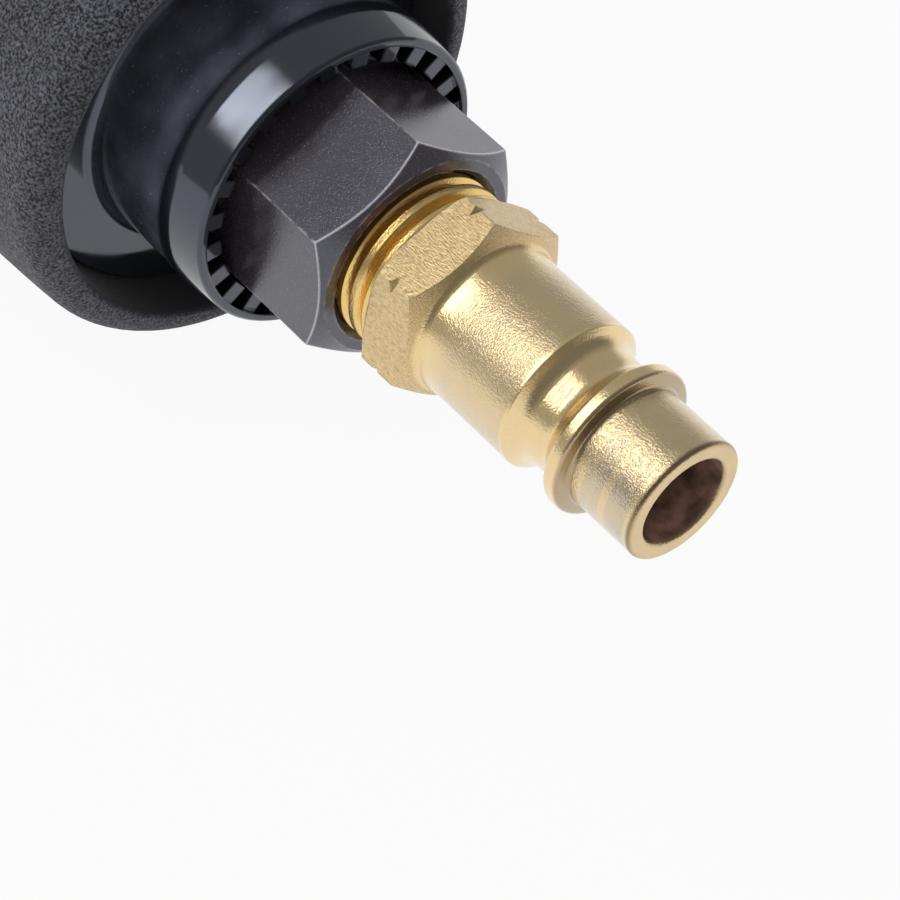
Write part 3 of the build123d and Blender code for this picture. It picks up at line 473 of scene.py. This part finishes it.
class GRINDER_OT_bushing(bpy.types.Operator):
    """Dress the blacked hex bushing"""

    bl_idname = "grinder.bushing"
    bl_label = "Inlet bushing"

    def execute(self, context):
        look = context.scene.grinder_black
        black = Finish("bushing_blacked_steel", look.oxide, 0.0, 0.3)
        sparkle = black.noise(0.00012, 2.0)
        cloud = black.noise(0.003, 3.0)
        # Light along the bushing's edges: partly rubbed wear, partly a painted highlight; along the chamfer
        # arcs at the rear it is a painted highlight only.
        edge_band = black.edges(look.edge_width, 0.96)
        arc_highlights = black.span(black.along(0), BUSHING_REAR + 0.0016, BUSHING_REAR + 0.0012)
        arc_highlights = black.sum("MULTIPLY", arc_highlights, black.span(black.off_axis(), 0.008, 0.0082))
        worn = black.sum("MAXIMUM", arc_highlights, black.span(black.noise(0.0008, 3.0), 0.4, 0.65, 0.0, 0.5))
        worn = black.sum("MULTIPLY", edge_band, worn)
        # Bright points painted into the colour: partly dust, partly painted glints where micro-facets would
        # catch the soft box.
        points = black.span(sparkle, 0.6, 0.78, 0.0, 0.4)
        ground = black.mix(points, look.oxide, look.dust_and_glint)
        black.set("Base Color", black.mix(worn, ground, look.edge))
        black.set("Roughness", black.span(cloud, 0.3, 0.7, 0.12, 0.2))
        black.set("IOR", 1.55)
        black.set("Specular IOR Level", 1.0)
        black.set("Specular Tint", (*look.sheen, 1.0))
        black.relief(sparkle, 0.000014)
        dress(["inlet_bushing"], black)
        return {"FINISHED"}


class GRINDER_OT_plug(bpy.types.Operator):
    """Dress the brass coupling plug"""

    bl_idname = "grinder.plug"
    bl_label = "Coupling plug"

    def execute(self, context):
        look = context.scene.grinder_metal
        brass = Finish("plug_turned_brass", look.brass, 1.0, 0.36)
        station = brass.sum("SUBTRACT", brass.along(0), PLUG_TIP)
        cloud = brass.noise(0.0018, 4.0)
        grain = brass.noise(0.00014, 2.0)
        flats = brass.band(station, *PLUG_FLATS)
        shank = brass.sum("MULTIPLY", brass.span(station, 0.0114, 0.0117), brass.span(station, 0.019, 0.017))
        barrel = brass.band(station, *PLUG_BARREL)
        round_parts = brass.sum("MAXIMUM", brass.band(station, *PLUG_SPIGOT), shank)
        coarse = brass.sum("MAXIMUM", round_parts, flats)
        ring = brass.span(brass.band(station, *PLUG_CLEAR_RING), 0.0, 1.0, 1.0, 0.4)
        # The tarnish colour comes over the spigot in a stretch, stronger towards +Y and weaker in a ring.
        side = brass.span(brass.along(1), 0.0005, 0.0042, 0.25, 1.0)
        film = brass.sum("MULTIPLY", brass.band(station, *PLUG_FILM), brass.sum("MULTIPLY", ring, side))
        film = brass.sum("MULTIPLY", film, brass.span(cloud, 0.3, 0.7, 0.5, 0.85))
        cast = brass.sum("MULTIPLY", brass.span(cloud, 0.3, 0.7, 0.2, 0.4), round_parts)
        dull = brass.sum("MAXIMUM", film, cast)
        dull = brass.sum("MAXIMUM", dull, brass.span(grain, 0.45, 0.7, 0.0, 0.15))
        # The thread takes a deeper gold: a painted reflection of light bouncing between its flanks.
        clean = brass.mix(brass.span(station, 0.0244, 0.0247), look.brass, look.thread)
        facets = brass.noise(0.00009, 2.0, (4.0, 1.0, 1.0))
        grime_and_shade = brass.sum("MULTIPLY", brass.span(facets, 0.58, 0.3, 0.05, 0.55), flats)
        # The collar's front face is darkened: painted shade where it meets the spigot.
        collar = brass.sum("MULTIPLY", brass.band(station, *PLUG_COLLAR_FRONT), 0.65)
        # A dark line near the rim's edge: partly grime, partly a painted dark reflection.
        rim = brass.sum("MULTIPLY", brass.band(station, *PLUG_RIM), 0.8)
        grime_and_shade = brass.sum("MAXIMUM", grime_and_shade, brass.sum("MAXIMUM", collar, rim))
        surface = brass.mix(grime_and_shade, brass.mix(dull, clean, look.tarnish), look.grime_and_shade)
        bore = brass.span(brass.off_axis(), *PLUG_BORE)
        stain = brass.mix(brass.span(cloud, 0.35, 0.65), look.residue, look.grime_and_shade)
        brass.set("Base Color", brass.mix(bore, surface, stain))
        brass.set("Metallic", brass.span(bore, 0.0, 1.0, 1.0, 0.4))
        rough = brass.span(coarse, 0.0, 1.0, 0.22, 0.26)
        rough = brass.sum("ADD", rough, brass.span(flats, 0.0, 1.0, 0.0, 0.04))
        rough = brass.sum("SUBTRACT", rough, brass.sum("MULTIPLY", barrel, 0.06))
        brass.set("Roughness", brass.sum("ADD", rough, brass.span(bore, 0.0, 1.0, 0.0, 0.1)))
        turned_front = brass.span(station, 0.0198, 0.019)
        lacquer = brass.sum("MULTIPLY", brass.span(station, 0.0001, 0.0005), turned_front)
        brass.set("Coat Weight", brass.sum("MULTIPLY", lacquer, brass.span(bore, 1.0, 0.0)))
        brass.set("Coat Roughness", 0.2)
        brass.set("Coat IOR", 1.5)
        brass.soften(0.00012)
        turned(brass, look.turning, 0.000005)
        brass.relief(brass.sum("MULTIPLY", grain, brass.span(round_parts, 0.0, 1.0, 0.4, 1.0)), 0.000045)
        brass.relief(brass.sum("MULTIPLY", facets, flats), 0.00005)
        brass.set("Coat Normal", brass.normal)
        dress(["air_plug"], brass)
        return {"FINISHED"}


class GRINDER_OT_nose(bpy.types.Operator):
    """Dress the housing, clamp nut, chuck, collet and collet nut"""

    bl_idname = "grinder.nose"
    bl_label = "Housing and nose"

    def execute(self, context):
        metal = context.scene.grinder_metal
        black = context.scene.grinder_black
        alloy = Finish("housing_anodised_alloy", metal.alloy, 0.7, 0.45)
        alloy.set("Roughness", alloy.span(alloy.noise(0.0003, 2.0), 0.3, 0.7, 0.38, 0.55))
        alloy.relief(alloy.noise(0.0002, 2.0), 0.00001)
        dress(["housing"], alloy)

        nose = Finish("nose_blacked_steel", black.paint, 0.6, 0.4)
        worn = nose.sum("MULTIPLY", nose.edges(0.0003), nose.span(nose.noise(0.001, 3.0), 0.4, 0.7, 0.0, 0.5))
        nose.set("Base Color", nose.mix(worn, black.paint, black.edge))
        turned(nose, 0.00018, 0.00001)
        dress(["clamp_nut"], nose)
        self.knurls(context.scene.grinder_ribs, nose)

        nut = Finish("nut_blacked_steel", black.oxide, 0.8, 0.38)
        worn = nut.sum("MULTIPLY", nut.edges(0.0003), nut.span(nut.noise(0.001, 3.0), 0.35, 0.7, 0.0, 0.6))
        nut.set("Base Color", nut.mix(worn, black.oxide, black.edge))
        nut.relief(nut.noise(0.00015, 2.0), 0.00001)
        dress(["collet_nut"], nut)

        steel = Finish("chuck_turned_steel", metal.steel, 1.0, 0.28)
        lines = turned(steel, 0.00015, 0.00001)
        steel.set("Roughness", steel.span(lines, 0.2, 0.8, 0.22, 0.36))
        dress(["chuck", "collet"], steel)
        return {"FINISHED"}

    def knurls(self, ribs, finish):
        """A ring of knurls that leaves four spanner holes clear."""
        bars = Bars("nose_knurls", ribs.knurl_radius, ribs.knurl_length)
        count = bars.ask("Knurls", "Int", ribs.knurls)
        reach = bars.ask("Circle", "Float", ribs.knurl_circle)
        ring = bars.put("GeometryNodeMeshCircle", {"Vertices": count, "Radius": reach})
        across = (0.0, math.pi / 2, 0.0)
        station = bars.ask("Station", "Vector", (ribs.knurl_station, 0.0, 0.0))
        ring = bars.put(
            "GeometryNodeTransform", {"Geometry": ring, "Translation": station, "Rotation": across}
        )
        quarters = bars.put(
            "ShaderNodeMath", {0: bars.put("GeometryNodeInputIndex", {}), 1: 4.0}, operation="MULTIPLY"
        )
        share = bars.put("ShaderNodeMath", {0: quarters, 1: count}, operation="DIVIDE")
        share = bars.put("ShaderNodeMath", {0: share}, operation="FRACT")
        middle = bars.put("ShaderNodeMath", {0: share, 1: 0.5}, operation="SUBTRACT")
        middle = bars.put("ShaderNodeMath", {0: middle}, operation="ABSOLUTE")
        gap = bars.ask("Gap", "Float", ribs.knurl_gap / 2)
        clear = bars.put("ShaderNodeMath", {0: middle, 1: gap}, operation="GREATER_THAN")
        bars.grow(ring, clear, across, finish, "body")


class GRINDER_OT_lever(bpy.types.Operator):
    """Dress the throttle lever, safety latch and pins"""

    bl_idname = "grinder.lever"
    bl_label = "Throttle lever"

    def execute(self, context):
        metal = context.scene.grinder_metal
        black = context.scene.grinder_black
        paint = Finish("lever_black_paint", black.paint, 0.0, 0.38)
        chips = paint.span(paint.noise(0.002, 4.0), 0.5, 0.7, 0.0, 0.6)
        worn = paint.sum("MULTIPLY", paint.edges(0.0003), chips)
        paint.set("Base Color", paint.mix(worn, black.paint, black.edge))
        peel = paint.noise(0.0005, 2.0)
        paint.set("Roughness", paint.span(peel, 0.3, 0.7, 0.32, 0.46))
        paint.relief(peel, 0.000015)
        dress(["throttle_lever"], paint)
        self.ribs(context.scene.grinder_ribs, paint)

        steel = Finish("latch_brushed_steel", metal.steel, 1.0, 0.32)
        brush = steel.noise(0.0001, 2.0, (1.0, 1.0, 12.0))
        steel.set("Roughness", steel.span(brush, 0.2, 0.8, 0.25, 0.42))
        steel.relief(brush, 0.000008)
        dress(["safety_latch", "lever_pin", "latch_pin", "cylinder_dowel", "valve_stem"], steel)

        wire = Finish("spring_wire", (0.4, 0.4, 0.42), 1.0, 0.3)
        wire.relief(wire.noise(0.0001, 2.0), 0.000005)
        dress(["latch_spring", "wave_washer"], wire)
        self.spring(context.scene.grinder_ribs, wire)
        return {"FINISHED"}

    def spring(self, sizes, finish):
        """The valve's coil spring, built in place of the packed spring, which is hidden."""
        low, high = (Vector(corner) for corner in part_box("valve_spring"))
        middle = (low + high) / 2
        tall = high[2] - low[2]
        coil = Grown("valve_coil")
        wire = coil.ask("Wire", "Float", sizes.spring_wire)
        reach = coil.ask("Reach", "Float", (high[0] - low[0]) / 2 - sizes.spring_wire)
        path = coil.put(
            "GeometryNodeCurveSpiral",
            {
                "Resolution": 24,
                "Rotations": coil.ask("Turns", "Float", sizes.spring_turns),
                "Start Radius": reach,
                "End Radius": reach,
                "Height": coil.ask("Height", "Float", tall - 2 * sizes.spring_wire),
            },
        )
        ring = coil.put("GeometryNodeCurvePrimitiveCircle", {"Resolution": 10, "Radius": wire})
        tube = coil.put("GeometryNodeCurveToMesh", {"Curve": path, "Profile Curve": ring, "Fill Caps": True})
        foot = coil.ask("Foot", "Vector", (middle[0], middle[1], low[2] + sizes.spring_wire))
        tube = coil.put("GeometryNodeTransform", {"Geometry": tube, "Translation": foot})
        made = coil.bake(tube, finish, "body")
        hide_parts("valve_spring")
        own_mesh(made)

    def ribs(self, ribs, finish):
        """A row of finger ribs across the top of the lever."""
        ahead = Vector((math.cos(ribs.rib_lean), 0.0, math.sin(ribs.rib_lean)))
        above = Vector((-ahead[2], 0.0, ahead[0]))
        first = Vector(LEVER_PIN) + ahead * ribs.rib_start + above * ribs.rib_height
        bars = Bars("lever_ribs", ribs.rib_radius, ribs.rib_width)
        row = bars.put(
            "GeometryNodeMeshLine",
            {
                "Count": bars.ask("Ribs", "Int", ribs.lever_ribs),
                "Start Location": bars.ask("Start", "Vector", first),
                "Offset": bars.ask("Step", "Vector", ahead * ribs.rib_pitch),
            },
            mode="OFFSET",
        )
        bars.grow(row, True, (math.pi / 2, 0.0, 0.0), finish, "lever")


class GRINDER_OT_inside(bpy.types.Operator):
    """Dress the motor, bearings, valve and seals"""

    bl_idname = "grinder.inside"
    bl_label = "Inside"

    def execute(self, context):
        metal = context.scene.grinder_metal
        ground = Finish("motor_ground_steel", metal.steel, 1.0, 0.35)
        lines = turned(ground, 0.0002, 0.00001)
        ground.set("Roughness", ground.span(lines, 0.2, 0.8, 0.28, 0.44))
        dress(["rear_plate", "cylinder", "front_plate", "rotor"], ground)

        race = Finish("bearing_polished_steel", (0.7, 0.7, 0.72), 1.0, 0.1)
        race.set("Roughness", race.span(race.noise(0.001, 2.0), 0.3, 0.7, 0.06, 0.16))
        ends = ("outer", "inner", "balls")
        dress([f"{place}_bearing_{end}" for place in ("rear", "front") for end in ends], race)

        blade = Finish("vane_laminate", (0.3, 0.17, 0.07), 0.0, 0.6)
        cloth = blade.noise(0.0003, 2.0, (4.0, 1.0, 1.0))
        blade.set("Base Color", blade.mix(cloth, (0.22, 0.12, 0.05), (0.4, 0.25, 0.11)))
        blade.relief(cloth, 0.00002)
        dress(["vanes"], blade)

        brass = Finish("valve_brass", metal.brass, 1.0, 0.32)
        cloud = brass.noise(0.002, 3.0)
        brass.set("Base Color", brass.mix(brass.span(cloud, 0.4, 0.8), metal.brass, metal.tarnish))
        brass.relief(brass.noise(0.0002, 1.0), 0.000008)
        dress(["valve_guide", "valve_seat", "valve_plug", "inlet_screen", "regulator"], brass)

        rubber = Finish("seal_rubber", (0.015, 0.015, 0.015), 0.0, 0.6)
        rubber.set("Roughness", rubber.span(rubber.noise(0.0004, 2.0), 0.3, 0.7, 0.5, 0.7))
        dress(["inlet_seal", "valve_seal", "regulator_seal"], rubber)
        return {"FINISHED"}


class GRINDER_OT_stage(bpy.types.Operator):
    """Set the floor, light and camera"""

    bl_idname = "grinder.stage"
    bl_label = "Stage"

    def execute(self, context):
        stage = context.scene.grinder_stage
        tip = Vector((PLUG_TIP, 0.0, 0.0))
        self.camera(context, stage, tip)
        self.floor(stage)
        self.canopy(stage)
        self.world(context, stage)
        self.soft_box(context, stage, tip)
        self.bounce(context, stage, tip)
        return {"FINISHED"}

    def camera(self, context, stage, tip):
        """The camera, placed from the tip of the plug."""
        data = bpy.data.cameras.new("camera")
        data.lens = stage.lens
        data.sensor_width = 36.0
        data.clip_start = 0.01
        made = bpy.data.objects.new("camera", data)
        made.location = tip + Vector(stage.eye)
        made.rotation_euler = stage.turn
        context.scene.collection.objects.link(made)
        context.scene.camera = made

    def soft_box(self, context, stage, tip):
        """A long soft box whose long side lies across the spindle axis."""
        data = bpy.data.lights.new("soft_box", "AREA")
        data.shape = "RECTANGLE"
        data.size = stage.key_length
        data.size_y = stage.key_width
        data.energy = stage.key
        made = bpy.data.objects.new("soft_box", data)
        out = Vector(stage.key_from).normalized()
        side = Vector((1.0, 0.0, 0.0)).cross(out).normalized()
        turn = Matrix((side, out.cross(side), out)).transposed()
        made.matrix_world = Matrix.LocRotScale(tip + out * stage.key_distance, turn.to_quaternion(), None)
        context.scene.collection.objects.link(made)

    def bounce(self, context, stage, tip):
        """A matt card overhead, ahead of the plug, that leaves no reflection."""
        data = bpy.data.lights.new("bounce", "AREA")
        data.size = stage.bounce_size
        data.energy = stage.bounce
        made = bpy.data.objects.new("bounce", data)
        made.location = tip + Vector((stage.key_distance, 0.0, stage.key_distance))
        made.rotation_euler = (0.0, math.radians(45), 0.0)
        made.visible_glossy = False
        context.scene.collection.objects.link(made)

    def seen(self, tree):
        """1 for rays from the camera, from a reflection and through glass."""
        path = tree.nodes.new("ShaderNodeLightPath")
        total = path.outputs["Is Camera Ray"]
        for name in ("Is Glossy Ray", "Is Transmission Ray"):
            step = tree.nodes.new("ShaderNodeMath")
            step.operation = "MAXIMUM"
            tree.links.new(total, step.inputs[0])
            tree.links.new(path.outputs[name], step.inputs[1])
            total = step.outputs["Value"]
        return total

    def floor(self, stage):
        """A pale floor that keeps the shadow and looks nearly white."""
        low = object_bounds()[0][2]
        reach = 3.0
        mesh = bpy.data.meshes.new("floor")
        corners = [(-reach, -reach, low), (reach, -reach, low), (reach, reach, low), (-reach, reach, low)]
        mesh.from_pydata(corners, [], [(0, 1, 2, 3)])
        material = bpy.data.materials.new("floor_white")
        material.use_nodes = True
        tree = material.node_tree
        shader = tree.nodes["Principled BSDF"]
        shader.inputs["Base Color"].default_value = (0.85, 0.85, 0.85, 1.0)
        shader.inputs["Roughness"].default_value = 0.9
        glow = tree.nodes.new("ShaderNodeEmission")
        glow.inputs["Color"].default_value = (1.0, 1.0, 1.0, 1.0)
        share = tree.nodes.new("ShaderNodeMapRange")
        share.inputs["To Max"].default_value = stage.floor_glow
        tree.links.new(self.seen(tree), share.inputs["Value"])
        mix = tree.nodes.new("ShaderNodeMixShader")
        tree.links.new(share.outputs["Result"], mix.inputs[0])
        tree.links.new(shader.outputs[0], mix.inputs[1])
        tree.links.new(glow.outputs[0], mix.inputs[2])
        tree.links.new(mix.outputs[0], tree.nodes["Material Output"].inputs["Surface"])
        mesh.materials.append(material)
        made = bpy.data.objects.new("floor", mesh)
        bpy.context.scene.collection.objects.link(made)
        made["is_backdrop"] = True

    def canopy(self, stage):
        """A dark hood over the stage that only reflections see."""
        bpy.ops.mesh.primitive_uv_sphere_add(segments=32, ring_count=16, radius=1.2)
        made = bpy.context.object
        made.name = "canopy"
        made.location = (PLUG_TIP, 0.0, 0.05)
        material = bpy.data.materials.new("canopy_dark")
        material.use_nodes = True
        tree = material.node_tree
        glow = tree.nodes.new("ShaderNodeEmission")
        place = tree.nodes.new("ShaderNodeTexCoord")
        split = tree.nodes.new("ShaderNodeSeparateXYZ")
        tree.links.new(place.outputs["Object"], split.inputs[0])
        level = tree.nodes.new("ShaderNodeMapRange")
        level.inputs["From Min"].default_value = -0.35
        level.inputs["From Max"].default_value = 0.4
        level.inputs["To Min"].default_value = stage.hood_dark
        level.inputs["To Max"].default_value = stage.hood_light
        tree.links.new(split.outputs["X"], level.inputs["Value"])
        tree.links.new(level.outputs["Result"], glow.inputs["Strength"])
        tree.links.new(glow.outputs[0], tree.nodes["Material Output"].inputs["Surface"])
        made.data.materials.append(material)
        for kind in ("camera", "diffuse", "transmission", "volume_scatter", "shadow"):
            setattr(made, f"visible_{kind}", False)
        made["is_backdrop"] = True

    def world(self, context, stage):
        """White to the eye, and dimmer as light."""
        made = bpy.data.worlds.new("studio")
        made.use_nodes = True
        context.scene.world = made
        tree = made.node_tree
        back = tree.nodes["Background"]
        back.inputs["Color"].default_value = (1.0, 1.0, 1.0, 1.0)
        level = tree.nodes.new("ShaderNodeMapRange")
        tree.links.new(self.seen(tree), level.inputs["Value"])
        level.inputs["To Min"].default_value = stage.ambient
        level.inputs["To Max"].default_value = 1.0
        tree.links.new(level.outputs["Result"], back.inputs["Strength"])
        context.scene.view_settings.view_transform = "Standard"


class GRINDER_PT_side(bpy.types.Panel):
    """Lists the steps that dress the grinder"""

    bl_idname = "GRINDER_PT_side"
    bl_label = "Air die grinder"
    bl_space_type = "VIEW_3D"
    bl_region_type = "UI"
    bl_category = "Grinder"

    def draw(self, context):
        for group in PROPERTY_GROUPS:
            box = self.layout.box()
            values = getattr(context.scene, group)
            for key in values.__annotations__:
                box.prop(values, key)
        for step in STEPS:
            self.layout.operator(step.bl_idname)


PROPERTY_GROUPS = {
    "grinder_grip": GrinderGripLook,
    "grinder_black": GrinderBlackLook,
    "grinder_metal": GrinderMetalLook,
    "grinder_ribs": GrinderRibSizes,
    "grinder_stage": GrinderStage,
}
STEPS = (
    GRINDER_OT_stage,
    GRINDER_OT_grip,
    GRINDER_OT_cap,
    GRINDER_OT_bushing,
    GRINDER_OT_plug,
    GRINDER_OT_nose,
    GRINDER_OT_lever,
    GRINDER_OT_inside,
)


def register():
    """Registers the classes and hangs the settings on the scene."""
    for name, group in PROPERTY_GROUPS.items():
        bpy.utils.register_class(group)
        setattr(bpy.types.Scene, name, PointerProperty(type=group))
    for step in (*STEPS, GRINDER_PT_side):
        bpy.utils.register_class(step)


def unregister():
    """Takes the settings and classes away again."""
    for step in (GRINDER_PT_side, *reversed(STEPS)):
        bpy.utils.unregister_class(step)
    for name, group in PROPERTY_GROUPS.items():
        delattr(bpy.types.Scene, name)
        bpy.utils.unregister_class(group)


def main():
    """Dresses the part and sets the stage."""
    register()
    for step in STEPS:
        family, name = step.bl_idname.split(".")
        getattr(getattr(bpy.ops, family), name)()


if __name__ == "__main__":
    main()
